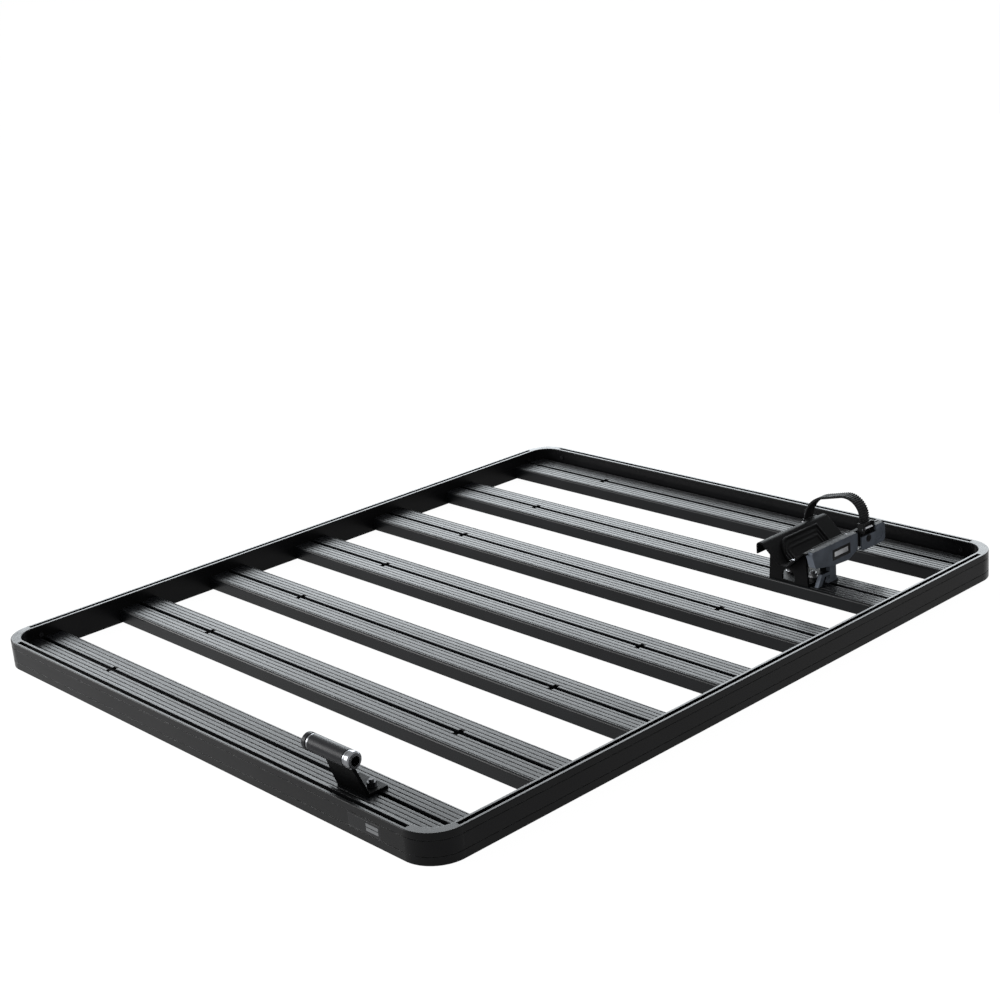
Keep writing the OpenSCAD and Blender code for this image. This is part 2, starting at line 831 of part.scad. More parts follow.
module wheel_cradle() {
  color("#141416") difference() {
    translate([tray_x, 0, 0]) upright_y(tray_y - tray_front, tray_y + tray_rear)
      polygon(sheet(bend(cradle_line, tray_bend, 4), tray_t));
    cradle_screw_points() bar_z([0, 0, floor_z - eps], cradle_screw_r + hole_gap, tray_t + 2 * eps);
    flange_screw_points(concat(housing_screw_y, frame_screw_y))
      bar_z([0, 0, -tray_t - eps], flange_screw_r + hole_gap / 2, tray_t + 2 * eps);
    rivet_points() bar_x([-eps, 0, 0], screw_r + press_gap, tray_t + 2 * eps);
  }
}

module bracket_plate() {
  top_u = tray_wall_u - 7;
  slope = tray_depth / (tray_wall_u - tray_floor_u);
  shoulder_z = floor_z + slope * (top_u - tray_floor_u);
  arch_z = floor_z - bracket_t - arch_u - 3;
  difference() {
    polygon([[-bracket_u, slat_top], [bracket_u, slat_top], [top_u, shoulder_z],
      [tray_floor_u, floor_z], [-tray_floor_u, floor_z], [-top_u, shoulder_z]]);
    translate([0, arch_z]) circle(r = arch_u);
    translate([-arch_u, tray_seat]) square([2 * arch_u, arch_z - tray_seat]);
  }
}

module tray_bracket() {
  color("#141416") difference() {
    union() {
      block([tray_x - bracket_u, tray_y - bracket_v, slat_top],
        [tray_x + bracket_u, tray_y + bracket_v, tray_seat]);
      for (side = [0, 1]) translate([tray_x, tray_y, 0]) mirror([0, side, 0]) {
        upright_y(-bracket_v, -bracket_v + bracket_t) bracket_plate();
        block([-tray_floor_u, -bracket_v, floor_z - bracket_t],
          [tray_floor_u, -bracket_v + bracket_t + tab_l, floor_z]);
      }
    }
    cradle_screw_points()
      bar_z([0, 0, floor_z - bracket_t - eps], cradle_screw_r + hole_gap, bracket_t + 2 * eps);
    for (side = [-1, 1])
      bar_z([tray_x + side * tray_stud_gap / 2, tray_y, slat_top - eps], stud_r + hole_gap,
        bracket_t + 2 * eps);
  }
}

module cradle_screws() {
  tip = cradle_nut_h + 1;
  color("silver") cradle_screw_points() {
    bar_z([0, 0, floor_z - bracket_t - tip], cradle_screw_r, bracket_t + tray_t + tip + eps);
    bar_z([0, 0, floor_z + tray_t], cradle_screw_r + 2.2, button_head_h);
  }
}

module cradle_nuts() {
  color("silver") cradle_screw_points()
    translate([0, 0, floor_z - bracket_t - cradle_nut_h]) hex_nut(10, cradle_screw_r, cradle_nut_h);
}

// Housing under the cradle's right flange

// Local origin on the flange's top, at each screw of a row
module flange_screw_points(row) {
  for (y = row) translate([flange_screw_x, y, flange_z + tray_t]) children();
}

// Stay from the housing down to the slat, with a splayed front foot
module housing_legs() {
  arm_z = slat_top + 15;
  arm_h = 6;
  rear = 3;
  leg_w = 18;
  toe = 5;
  toe_h = 8;
  translate([rear, slat_top]) square([leg_w, housing_z - slat_top + 4]);
  translate([rear - 22, arm_z]) square([22 + leg_w / 2, arm_h]);
  polygon([[rear - 34, slat_top], [rear - 24, slat_top],
    [rear - 12, arm_z + arm_h / 2], [rear - 22, arm_z + arm_h]]);
  polygon([[rear - toe, slat_top], [rear + leg_w + toe, slat_top],
    [rear + leg_w, slat_top + toe_h], [rear, slat_top + toe_h]]);
}

module label_recess(grow) {
  translate([label_v, label_z]) square([label_w + 2 * grow, label_h + 2 * grow], center = true);
}

module buckle_housing() {
  color("#4a4f57") difference() {
    union() {
      translate([0, tray_y, 0]) {
        difference() {
          upright_x(housing_x0, housing_x1) polygon(soften(housing_line, 4, 4));
          upright_x(housing_x0 - eps, housing_x1 - housing_wall)
            polygon(soften(inset(housing_line, housing_wall), 1.5, 3));
          block([housing_x0 - eps, housing_y0 - eps, flange_z],
            [past_flange, housing_y1 + eps, housing_top + eps]);
        }
        upright_x(leg_x0, leg_x0 + leg_t) housing_legs();
      }
      for (y = housing_screw_y)
        block([housing_x0, y - boss_w / 2, flange_z - boss_h], [housing_x1 - eps, y + boss_w / 2, flange_z]);
    }
    flange_screw_points(housing_screw_y)
      bar_z([0, 0, -flange_screw_l - eps], flange_screw_r + press_gap, flange_screw_l);
    translate([0, tray_y, 0]) upright_x(housing_x1 - label_sink, housing_x1 + eps) label_recess(label_rim);
  }
}

module label_plate() {
  color("silver") translate([0, tray_y, 0])
    upright_x(housing_x1 - label_sink, housing_x1 - label_sink + label_t) label_recess(0);
}

// Pan-head screw driven down through the flange
module flange_screw() {
  bar_z([0, 0, -flange_screw_l], flange_screw_r, flange_screw_l + eps);
  difference() {
    cylinder(r = flange_head_r, h = flange_head_h);
    translate([0, 0, flange_head_h - 0.8]) cylinder(r = flange_screw_r * 0.7, h = 0.8 + eps, $fn = 6);
  }
}

module housing_screws() {
  color("silver") flange_screw_points(housing_screw_y) flange_screw();
}

// Strap and its anchor

module rivet_points() {
  for (side = [-1, 1]) translate([tray_x - lip_out, strap_mid + side * 7, lip_z + 4.5]) children();
}

module strap_anchor() {
  ear_r = eye_r + 0.5;
  half = cheek_in + anchor_t;
  plate_x = tray_x - lip_out;
  color("#141416") difference() {
    union() {
      block([plate_x - anchor_t, strap_mid - half, lip_z], [plate_x, strap_mid + half, flange_z]);
      for (y0 = [strap_mid - half, strap_mid + cheek_in]) {
        bar_y([anchor[0], y0, anchor[1]], ear_r, anchor_t);
        block([anchor[0], y0, anchor[1] - ear_r], [plate_x, y0 + anchor_t, anchor[1] + ear_r]);
      }
    }
    bar_y([anchor[0], strap_mid - half - eps, anchor[1]], anchor_pin_r + press_gap, 2 * half + 2 * eps);
    rivet_points() bar_x([-anchor_t - eps, 0, 0], screw_r + press_gap, anchor_t + 2 * eps);
  }
}

module anchor_rivets() {
  color("silver") rivet_points() {
    bar_x([-anchor_t, 0, 0], screw_r, anchor_t + tray_t);
    bar_x([-anchor_t - rivet_head_h, 0, 0], rivet_head_r, rivet_head_h);
    bar_x([tray_t, 0, 0], rivet_head_r, rivet_head_h);
  }
}

module anchor_pin() {
  half = cheek_in + anchor_t + 1;
  color("silver") bar_y([anchor[0], strap_mid - half, anchor[1]], anchor_pin_r, 2 * half);
}

// Toothed arc about c, from angle a0 to a1, with its teeth on the radius r
tooth_shape = [[0.2, 0], [0.32, 1], [0.72, 1], [0.84, 0]];
function teeth_on(l) = round(l / tooth_pitch);
function toothed(c, r, a0, a1) =
  let (n = teeth_on(r * abs(a1 - a0) * PI / 180))
  [for (i = [0:n - 1], s = tooth_shape) c + (r + s[1] * tooth_h) * polar(a0 + (a1 - a0) * (i + s[0]) / n)];

// Toothed straight run from p to q, with its teeth on the left
function toothed_run(p, q) =
  let (n = teeth_on(norm(q - p)), out = tooth_h * left_of(unit(q - p)))
  [for (i = [0:n - 1], s = tooth_shape) p + (q - p) * (i + s[0]) / n + s[1] * out];

module strap() {
  half = strap_t / 2;
  left_out = strap_left_r + half;
  right_out = strap_right_r + half;
  tail_out = tail_r + half;
  inner = concat(
    arc(left_c, strap_left_r - half, 180, flat_turn, 24),
    arc(right_c, strap_right_r - half, flat_turn, 0, 24),
    arc(anchor, tail_r - half, 0, -tail_angle, 8)
  );
  outer = concat(
    arc(left_c, left_out, 180, 180 - smooth_turn, 3),
    toothed(left_c, left_out, 180 - smooth_turn, flat_turn),
    toothed_run(left_c + left_out * polar(flat_turn), right_c + right_out * polar(flat_turn)),
    toothed(right_c, right_out, flat_turn, 0),
    toothed_run(right_c + [right_out, 0], anchor + [tail_out, 0]),
    toothed(anchor, tail_out, 0, -tail_angle),
    [anchor + tail_out * polar(-tail_angle)]
  );
  color("#17181a") difference() {
    union() {
      upright_y(strap_mid - strap_w / 2, strap_mid + strap_w / 2)
        polygon(concat(inner, [for (i = [len(outer) - 1:-1:0]) outer[i]]));
      bar_y([anchor[0], strap_mid - strap_w / 2, anchor[1]], eye_r, strap_w);
    }
    bar_y([anchor[0], strap_mid - strap_w, anchor[1]], anchor_pin_r + run_gap, 2 * strap_w);
  }
}

// Ratchet frame under the flange: guide block, cheeks, bridge and hinge lugs

module ratchet_frame() {
  cheek_x = hold_pin[0] + pawl_pin_r + 2;
  cheek_low = drive_z - 6;
  block_z = lever_z0 + 2;
  front_y = strap_mid - cheek_out;
  rear_y = strap_mid + cheek_out;
  color("#3a3e44") difference() {
    union() {
      block([housing_x0, front_y, block_z], [flange_edge, rear_y, flange_z]);
      block([housing_x0, front_y, block_z], [back_x, rear_y, strap_z + 2]);
      for (y0 = [front_y, strap_mid + cheek_in]) {
        block([past_flange, y0, cheek_low], [back_x + 0.8, y0 + cheek_t, frame_top]);
        block([past_flange, y0, cheek_z], [cheek_x, y0 + cheek_t, frame_top]);
      }
      block([crest_x + 1, front_y, frame_top - 5], [crest_x + 5, rear_y, frame_top]);
      block([past_flange, strap_mid + cheek_in, lever_z0 + 10],
        [back_x, lug_b + lug_t, lever_pin[1] + lever_hub_r]);
      for (y0 = [lug_a, lug_b]) {
        bar_y([lever_pin[0], y0, lever_pin[1]], lever_hub_r, lug_t);
        block([past_flange, y0, lever_pin[1] - lever_hub_r],
          [lever_pin[0], y0 + lug_t, lever_pin[1] + lever_hub_r]);
      }
    }
    translate([0, strap_mid - cheek_in, 0]) difference() {
      bar_y([anchor[0], 0, anchor[1]], channel_out, 2 * cheek_in);
      bar_y([anchor[0], -eps, anchor[1]], channel_in, 2 * cheek_in + 2 * eps);
    }
    bar_y([lever_pin[0], strap_mid, lever_pin[1]], lever_pin_r + press_gap, lever_l + strap_w);
    bar_y([hold_pin[0], strap_mid - strap_w, hold_pin[1]], pawl_pin_r + press_gap, 2 * strap_w);
    flange_screw_points(frame_screw_y)
      bar_z([0, 0, -flange_screw_l - eps], flange_screw_r + press_gap, flange_screw_l);
  }
}

module frame_screws() {
  color("silver") flange_screw_points(frame_screw_y) flange_screw();
}

module lever_pin() {
  color("silver") bar_y([lever_pin[0], lug_a, lever_pin[1]], lever_pin_r, lug_b + lug_t - lug_a);
}

// Pawl on a round hub: a tip towards the strap and, for the drive pawl, an arm behind the button
module pawl(pin, hub, w, tip, arm) {
  difference() {
    union() {
      bar_y([pin[0], strap_mid - w / 2, pin[1]], hub, w);
      upright_y(strap_mid - w / 2, strap_mid + w / 2) polygon(tip);
      upright_y(strap_mid - w / 2, strap_mid + w / 2) polygon(arm);
    }
    bar_y([pin[0], strap_mid - w, pin[1]], pawl_pin_r + run_gap, 2 * w);
  }
}

module hold_pawl() {
  tip_z = hold_pin[1] - 5;
  tip = [hold_pin + [0, hold_hub_r], hold_pin + [-hold_hub_r, 0], off_teeth(tip_z, 0.6),
    off_teeth(tip_z - 1, 1.4), hold_pin + [hold_hub_r, 0]];
  w = pawl_w - 2 * spring_w;
  color("silver") pawl(hold_pin, hold_hub_r, w, tip, tip);
}

module hold_pawl_pin() {
  color("silver") bar_y([hold_pin[0], strap_mid - cheek_out, hold_pin[1]], pawl_pin_r, 2 * cheek_out);
}

module pawl_spring(pin) {
  y0 = strap_mid + pawl_w / 2 - spring_w + 0.3;
  difference() {
    bar_y([pin[0], y0, pin[1]], pawl_pin_r + 1, spring_w);
    bar_y([pin[0], y0 - eps, pin[1]], pawl_pin_r + 0.1, spring_w + 2 * eps);
  }
}

module hold_spring() {
  color("silver") pawl_spring(hold_pin);
}

module drive_spring() {
  color("silver") pawl_spring(drive_pin);
}

module drive_pawl() {
  tip_z = drive_z - 4;
  arm_top = button_z + 0.5;
  arm_x = drive_pin[0] + arm_t;
  arm_back = drive_pin[0] - 0.4;
  tip = [drive_pin + [0, drive_hub_r], drive_pin + [-drive_hub_r, 0], off_teeth(tip_z, 0.6),
    off_teeth(tip_z - 1, 1.4), drive_pin + [drive_hub_r, 0]];
  arm = [[arm_back, drive_z], [arm_x, drive_z], [arm_x, arm_top], [arm_back, arm_top]];
  w = pawl_w - 2 * spring_w;
  color("silver") pawl(drive_pin, drive_hub_r, w, tip, arm);
}

module drive_pawl_pin() {
  color("silver") bar_y([drive_pin[0], strap_mid - ear_out, drive_pin[1]], pawl_pin_r, 2 * ear_out);
}

// Lever: a shallow pan that covers the strap and swings outwards on its rear hinge

module ratchet_lever() {
  hinge_y0 = lug_a - 1;
  top = lever_pin[1] + lever_hub_r;
  rim_x = crest_x + 1;
  rim_t = 2.5;
  nose = 4;
  end_r = 9;
  barrel_y0 = lug_a + lug_t + move_gap;
  barrel_y1 = lug_b - move_gap;
  color("#4a4f57") difference() {
    union() {
      upright_x(lever_x0, lever_x1)
        polygon(concat(
          [[lever_y0, lever_z0 + nose], [lever_y0 + nose, lever_z0]],
          arc([lever_y1 - end_r, lever_z0 + end_r], end_r, 270, 360, 6),
          arc([lever_y1 - end_r, top - end_r], end_r, 0, 90, 6),
          [[hinge_y0, top], [hinge_y0, lever_cover_top], [lever_y0, lever_cover_top]]
        ));
      block([rim_x, lever_y0 + nose, lever_z0], [lever_x0 + eps, lever_y1 - end_r, lever_z0 + rim_t]);
      for (y0 = [strap_mid - ear_out, strap_mid + ear_in])
        block([drive_pin[0] - drive_hub_r - 0.5, y0, drive_z - 7],
          [lever_x0 + eps, y0 + ear_out - ear_in, drive_z + 6]);
      bar_y([lever_pin[0], barrel_y0, lever_pin[1]], lever_hub_r, barrel_y1 - barrel_y0);
      block([lever_pin[0], barrel_y0, lever_pin[1] - lever_hub_r], [lever_x0 + eps, barrel_y1, top]);
    }
    bar_y([lever_pin[0], lug_a, lever_pin[1]], lever_pin_r + run_gap, lug_b + lug_t - lug_a);
    bar_y([drive_pin[0], strap_mid - strap_w, drive_z], pawl_pin_r + press_gap, 2 * strap_w);
    bar_x([lever_x0 - eps, button_y, button_z], button_r + run_gap, lever_t + 2 * eps);
    bar_x([lever_x1 - lever_dish_d, lever_y1 - lever_dish_r - 8, (lever_z0 + top) / 2],
      lever_dish_r, lever_dish_d + eps);
  }
}

module release_button() {
  stem_x = drive_pin[0] + arm_t + stem_gap;
  disc_x = lever_x0 + button_back;
  color("#141416") {
    bar_x([disc_x, button_y, button_z], button_r, lever_t - button_back + button_out);
    bar_x([stem_x, button_y, button_z], stem_r, disc_x + eps - stem_x);
  }
}

module slat_1() { slat(1); }
module slat_2() { slat(2); }
module slat_3() { slat(3); }
module slat_4() { slat(4); }
module slat_5() { slat(5); }
module slat_6() { slat(6); }
module slat_7() { slat(7); }

front_rail();
rear_rail();
left_rail();
right_rail();
corner_front_left();
corner_front_right();
corner_rear_left();
corner_rear_right();
slat_1();
slat_2();
slat_3();
slat_4();
slat_5();
slat_6();
slat_7();
slat_bolts();
corner_screws();
badge_plate();
fork_bracket();
hub_tube();
hub_rings();
hub_cap_left();
hub_cap_right();
axle_sleeve();
fork_slot_bar();
fork_studs();
fork_washers();
fork_nuts();
wheel_cradle();
tray_bracket();
cradle_screws();
cradle_nuts();
tray_slot_bar();
tray_studs();
tray_washers();
tray_nuts();
buckle_housing();
label_plate();
housing_screws();
ratchet_frame();
frame_screws();
strap_anchor();
anchor_rivets();
anchor_pin();
strap();
ratchet_lever();
lever_pin();
drive_pawl();
drive_pawl_pin();
drive_spring();
hold_pawl();
hold_pawl_pin();
hold_spring();
release_button();
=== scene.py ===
"""Looks of the slatted roof platform, its fork mount and its wheel tray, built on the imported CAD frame."""

import bisect
import json
import math

import bmesh
import bpy
from mathutils import Matrix, Vector
from mathutils.bvhtree import BVHTree


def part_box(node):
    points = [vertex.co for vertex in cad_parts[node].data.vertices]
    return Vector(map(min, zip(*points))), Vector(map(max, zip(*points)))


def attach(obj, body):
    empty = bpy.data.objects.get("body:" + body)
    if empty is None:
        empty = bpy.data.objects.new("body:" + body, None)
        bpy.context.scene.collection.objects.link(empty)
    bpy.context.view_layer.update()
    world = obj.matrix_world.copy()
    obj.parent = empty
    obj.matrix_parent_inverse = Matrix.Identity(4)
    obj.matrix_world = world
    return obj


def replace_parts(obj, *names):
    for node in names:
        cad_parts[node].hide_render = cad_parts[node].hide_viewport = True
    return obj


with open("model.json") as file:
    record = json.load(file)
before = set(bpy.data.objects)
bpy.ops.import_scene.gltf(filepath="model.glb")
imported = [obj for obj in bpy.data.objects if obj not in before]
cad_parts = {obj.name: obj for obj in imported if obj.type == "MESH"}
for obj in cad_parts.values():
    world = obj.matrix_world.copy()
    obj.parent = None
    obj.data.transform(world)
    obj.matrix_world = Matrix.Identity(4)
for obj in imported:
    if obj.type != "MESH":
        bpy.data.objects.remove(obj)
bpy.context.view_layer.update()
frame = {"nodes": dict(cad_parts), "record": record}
nodes = frame["nodes"]
SLOT_OF = {row["node"]: row["material_slot"] for row in frame["record"]["subparts"]}
MM = 0.001


# Materials

SOFT = (0.35, 0.65)  # spans of a noise that are spread over a look's whole range
WIDE = (0.3, 0.7)
UNIT = (0.0, 1.0)


class Look:
    """A material with short calls to add and join its nodes. Lengths are in metres."""

    DRAWN_OUT = 0.02  # scale of a texture along the way that it is stretched
    UPWARD = (0.80, 0.97)  # upward share of the normal at which a face starts, and ends, to count as a top
    EDGE = (0.995, 0.85)  # agreement of the eased normal with the face's own, on flat faces and on edges
    EDGE_SAMPLES = 4
    WAVE = math.pi / 10  # scale of a wave texture with one band a metre
    MIX_A, MIX_B, MIX_RESULT = 6, 7, 2  # colour sockets of a Mix node

    def __init__(self, name):
        self.mat = bpy.data.materials.new(name)
        self.mat.use_nodes = True
        self.tree = self.mat.node_tree
        self.tree.nodes.clear()
        out = self.tree.nodes.new("ShaderNodeOutputMaterial")
        self.bsdf = self.tree.nodes.new("ShaderNodeBsdfPrincipled")
        self.tree.links.new(self.bsdf.outputs["BSDF"], out.inputs["Surface"])
        self.place = self.tree.nodes.new("ShaderNodeTexCoord").outputs["Object"]

    def set(self, **values):
        for name, value in values.items():
            self.bsdf.inputs[name.replace("_", " ")].default_value = value
        return self

    def join(self, output, socket):
        self.tree.links.new(output, self.bsdf.inputs[socket])

    def stretched(self, along):
        """The place, shrunk along X, Y or Z, so that a texture draws out that way."""
        if not along:
            return self.place
        node = self.tree.nodes.new("ShaderNodeMapping")
        node.inputs["Scale"].default_value = [self.DRAWN_OUT if axis in along else 1.0 for axis in "XYZ"]
        self.tree.links.new(self.place, node.inputs["Vector"])
        return node.outputs["Vector"]

    def noise(self, size, detail, along=""):
        """Noise whose blotches are about size across, drawn out along an axis."""
        node = self.tree.nodes.new("ShaderNodeTexNoise")
        node.inputs["Scale"].default_value = 1 / size
        node.inputs["Detail"].default_value = detail
        self.tree.links.new(self.stretched(along), node.inputs["Vector"])
        return node.outputs["Fac"]

    def bands(self, pitch, axis):
        """Even bands across an axis."""
        node = self.tree.nodes.new("ShaderNodeTexWave")
        node.bands_direction = axis
        node.inputs["Scale"].default_value = self.WAVE / pitch
        self.tree.links.new(self.place, node.inputs["Vector"])
        return node.outputs["Fac"]

    def remap(self, value, span, to):
        node = self.tree.nodes.new("ShaderNodeMapRange")
        for name, number in zip(("From Min", "From Max", "To Min", "To Max"), (*span, *to)):
            node.inputs[name].default_value = number
        self.tree.links.new(value, node.inputs["Value"])
        return node.outputs["Result"]

    def times(self, a, b):
        node = self.tree.nodes.new("ShaderNodeMath")
        node.operation = "MULTIPLY"
        self.tree.links.new(a, node.inputs[0])
        self.tree.links.new(b, node.inputs[1])
        return node.outputs["Value"]

    def mix(self, fac, a, b):
        """Colour a where fac is 0 and b where it is 1. Either may be a colour or an output."""
        node = self.tree.nodes.new("ShaderNodeMix")
        node.data_type = "RGBA"
        self.tree.links.new(fac, node.inputs["Factor"])
        for value, socket in ((a, node.inputs[self.MIX_A]), (b, node.inputs[self.MIX_B])):
            if isinstance(value, bpy.types.NodeSocket):
                self.tree.links.new(value, socket)
            else:
                socket.default_value = (*value, 1)
        return node.outputs[self.MIX_RESULT]

    def bump(self, height, depth, strength, under=None):
        node = self.tree.nodes.new("ShaderNodeBump")
        node.inputs["Strength"].default_value = strength
        node.inputs["Distance"].default_value = depth
        self.tree.links.new(height, node.inputs["Height"])
        if under is not None:
            self.tree.links.new(under, node.inputs["Normal"])
        return node.outputs["Normal"]

    def facing_up(self):
        """1 on faces that look straight up, 0 on faces that lean away from it."""
        normal = self.tree.nodes.new("ShaderNodeNewGeometry").outputs["Normal"]
        split = self.tree.nodes.new("ShaderNodeSeparateXYZ")
        self.tree.links.new(normal, split.inputs["Vector"])
        return self.remap(split.outputs["Z"], self.UPWARD, UNIT)

    def edges(self, radius):
        """The normal eased over the edges, and a mask that is 1 on edges and 0 on flat faces."""
        bevel = self.tree.nodes.new("ShaderNodeBevel")
        bevel.samples = self.EDGE_SAMPLES
        bevel.inputs["Radius"].default_value = radius
        plain = self.tree.nodes.new("ShaderNodeNewGeometry")
        dot = self.tree.nodes.new("ShaderNodeVectorMath")
        dot.operation = "DOT_PRODUCT"
        self.tree.links.new(bevel.outputs["Normal"], dot.inputs[0])
        self.tree.links.new(plain.outputs["Normal"], dot.inputs[1])
        return bevel.outputs["Normal"], self.remap(dot.outputs["Value"], self.EDGE, UNIT)


def shade(colour, factor):
    return [min(1.0, c * factor) for c in colour]


def coated(name, colour, rough, grain, along="", wear=0.3, peel=0.04 * MM, gloss=0.12, top_gloss=None,
           ease=1.2 * MM):
    """Powder coat: orange peel, faint lengthwise draw lines, dusty blotches and lighter rubbed edges.
    Faces that look up, which are wiped clean most, may be glossier than the others."""
    blotch, rub_size, dull_size, line, line_depth = 70 * MM, 12 * MM, 20 * MM, 1.6 * MM, 0.02 * MM
    rub_span, rubbed = (0.42, 0.62), (0.20, 0.205, 0.215)
    look = Look(name)
    eased, edge = look.edges(ease)
    dust = look.remap(look.noise(blotch, 5), SOFT, UNIT)
    tone = look.mix(dust, shade(colour, 0.82), shade(colour, 1.22))
    rub = look.times(edge, look.remap(look.noise(rub_size, 4), rub_span, (0, wear)))
    look.join(look.mix(rub, tone, rubbed), "Base Color")
    dull = look.noise(dull_size, 4, along)
    look.join(look.remap(dull, WIDE, (rough - 0.05, rough + 0.06)), "Roughness")
    normal = look.bump(look.noise(grain, 2), peel, 0.7, eased)
    if along:
        normal = look.bump(look.noise(line, 2, along), line_depth, 0.6, normal)
    look.join(normal, "Normal")
    if top_gloss is not None:
        look.join(look.remap(look.facing_up(), UNIT, (gloss, top_gloss)), "Specular IOR Level")
    return look.set(Specular_IOR_Level=gloss)


def plastic(name, colour, rough, gloss, top=1.0):
    """Spark-eroded moulded plastic: fine pits, soft blotches and paler edges.
    Faces that look up are darkened to the share top of its colour, a painted shade on the tops."""
    blotch, pale_size, dull_size, pit, pit_depth = 30 * MM, 6 * MM, 12 * MM, 0.9 * MM, 0.09 * MM
    pale_span, pale_most, edge_ease = (0.35, 0.7), 0.45, 1 * MM
    look = Look(name)
    tone = look.mix(look.remap(look.noise(blotch, 5), SOFT, UNIT), shade(colour, 0.86), shade(colour, 1.16))
    # Painted shade: faces that look up are darkened to the share top of the colour
    if top < 1:
        tone = look.mix(look.facing_up(), tone, shade(colour, top))
    eased, edge = look.edges(edge_ease)
    pale = look.times(edge, look.remap(look.noise(pale_size, 3), pale_span, (0, pale_most)))
    look.join(look.mix(pale, tone, shade(colour, 1.7)), "Base Color")
    look.join(look.remap(look.noise(dull_size, 3), WIDE, (rough - 0.06, rough + 0.06)), "Roughness")
    look.join(look.bump(look.noise(pit, 2), pit_depth, 0.8, eased), "Normal")
    return look.set(Specular_IOR_Level=gloss)


def steel(name, colour, rough, along="", thread=0.0):
    """Bare or plated metal: drawn lines, smudges and, on a stud, thread turns."""
    line, line_depth, smudge_size, thread_depth = 1.2 * MM, 0.03 * MM, 15 * MM, 0.5 * MM
    look = Look(name)
    lines = look.noise(line, 4, along)
    tone = look.mix(look.remap(lines, WIDE, UNIT), shade(colour, 0.88), shade(colour, 1.06))
    look.join(tone, "Base Color")
    smudge = look.noise(smudge_size, 4)
    look.join(look.remap(smudge, WIDE, (rough - 0.05, rough + 0.1)), "Roughness")
    normal = look.bump(lines, line_depth, 0.6)
    if thread:
        normal = look.bump(look.bands(thread, "Z"), thread_depth, 0.9, normal)
    look.join(normal, "Normal")
    return look.set(Metallic=1.0)


def ribbed_rubber(name, colour, rough, gloss):
    """Moulded rubber: a dull skin with fine scuffs, paler on the crests of its relief."""
    scuff_size, crest_size, grain, grain_depth, edge_ease = 4 * MM, 10 * MM, 1.1 * MM, 0.1 * MM, 0.8 * MM
    scuff_span, crest_span, crest_range = (0.45, 0.7), (0.4, 0.6), (0.1, 0.5)
    look = Look(name)
    scuff = look.remap(look.noise(scuff_size, 5, "Y"), scuff_span, UNIT)
    tone = look.mix(scuff, colour, shade(colour, 2.0))
    eased, edge = look.edges(edge_ease)
    crest = look.times(edge, look.remap(look.noise(crest_size, 3), crest_span, crest_range))
    look.join(look.mix(crest, tone, shade(colour, 3.2)), "Base Color")
    look.join(look.remap(scuff, UNIT, (rough - 0.05, rough + 0.1)), "Roughness")
    look.join(look.bump(look.noise(grain, 3), grain_depth, 0.7, eased), "Normal")
    return look.set(Specular_IOR_Level=gloss)


BLACK = (0.0045, 0.0046, 0.0051)
SLAT = (0.0050, 0.0055, 0.0065)
SLATE = (0.122, 0.138, 0.165)
M8_PITCH = 1.25 * MM
FINE_EASE = 0.4 * MM
looks = {
    "rail_x": coated("rail_coat_x", BLACK, rough=0.32, grain=1.4 * MM, along="X",
                     gloss=0.11, top_gloss=0.18, ease=FINE_EASE),
    "rail_y": coated("rail_coat_y", BLACK, rough=0.32, grain=1.4 * MM, along="Y",
                     gloss=0.08, top_gloss=0.22, ease=FINE_EASE),
    "corner_black": coated("corner_coat", BLACK, rough=0.28, grain=2.2 * MM, wear=0.35, peel=0.05 * MM,
                           gloss=0.09, top_gloss=0.14, ease=FINE_EASE),
    "slat_black": coated("slat_coat", SLAT, rough=0.30, grain=1.2 * MM, along="X", wear=0.25, peel=0.03 * MM),
    "bracket_black": coated("bracket_paint", shade(BLACK, 0.6), rough=0.48, grain=1.6 * MM,
                            wear=0.10, gloss=0.04),
    "cradle_black": coated("cradle_paint", shade(BLACK, 0.6), rough=0.48, grain=1.6 * MM, along="Y",
                           wear=0.15, gloss=0.03),
    "badge_dark": coated("badge_plate_satin", shade(BLACK, 2.2), rough=0.30, grain=0.8 * MM, along="X",
                         wear=0.5),
    "hub_black": coated("hub_gloss", shade(BLACK, 4.2), rough=0.30, grain=3 * MM,
                        wear=0.15, peel=0.03 * MM, gloss=0.06),
    "zinc_steel": steel("zinc_plate", (0.60, 0.61, 0.63), 0.26),
    # Painted shade: the tray's studs, nuts and washers take zinc at about half the bright plate's colour, so
    # they show darker
    "zinc_thread_shaded": steel("zinc_plate_thread_shaded", (0.28, 0.285, 0.295), 0.34, thread=M8_PITCH),
    "zinc_dull_shaded": steel("zinc_plate_dull_shaded", (0.30, 0.305, 0.315), 0.34),
    "zinc_dark": steel("zinc_plate_dark", (0.06, 0.061, 0.065), 0.45),
    "black_hardware": steel("black_oxide", (0.030, 0.030, 0.033), 0.40),
    "black_thread": steel("black_oxide_thread", (0.028, 0.028, 0.030), 0.42, thread=M8_PITCH),
    "polished_alloy": steel("turned_alloy", (0.18, 0.185, 0.195), 0.22, along="YZ"),
    "foil": steel("badge_foil_satin", (0.16, 0.165, 0.17), 0.42, along="X"),
    "label_silver": steel("brushed_label", (0.62, 0.63, 0.65), 0.34, along="Y"),
    "pawl_steel": steel("pawl_steel", (0.42, 0.43, 0.45), 0.32, along="Y"),
    # Painted shade: top=0.05 darkens the tops of the housing and lever to a twentieth of the slate colour
    "slate_plastic": plastic("slate_plastic", SLATE, rough=0.50, gloss=0.06, top=0.05),
    "dark_plastic": plastic("black_plastic", shade(BLACK, 1.1), rough=0.44, gloss=0.15),
    "strap_black": ribbed_rubber("strap_rubber", (0.0055, 0.0055, 0.006), rough=0.55, gloss=0.12),
    "liner_black": ribbed_rubber("liner_rubber", (0.0030, 0.0030, 0.0033), rough=0.62, gloss=0.04),
}
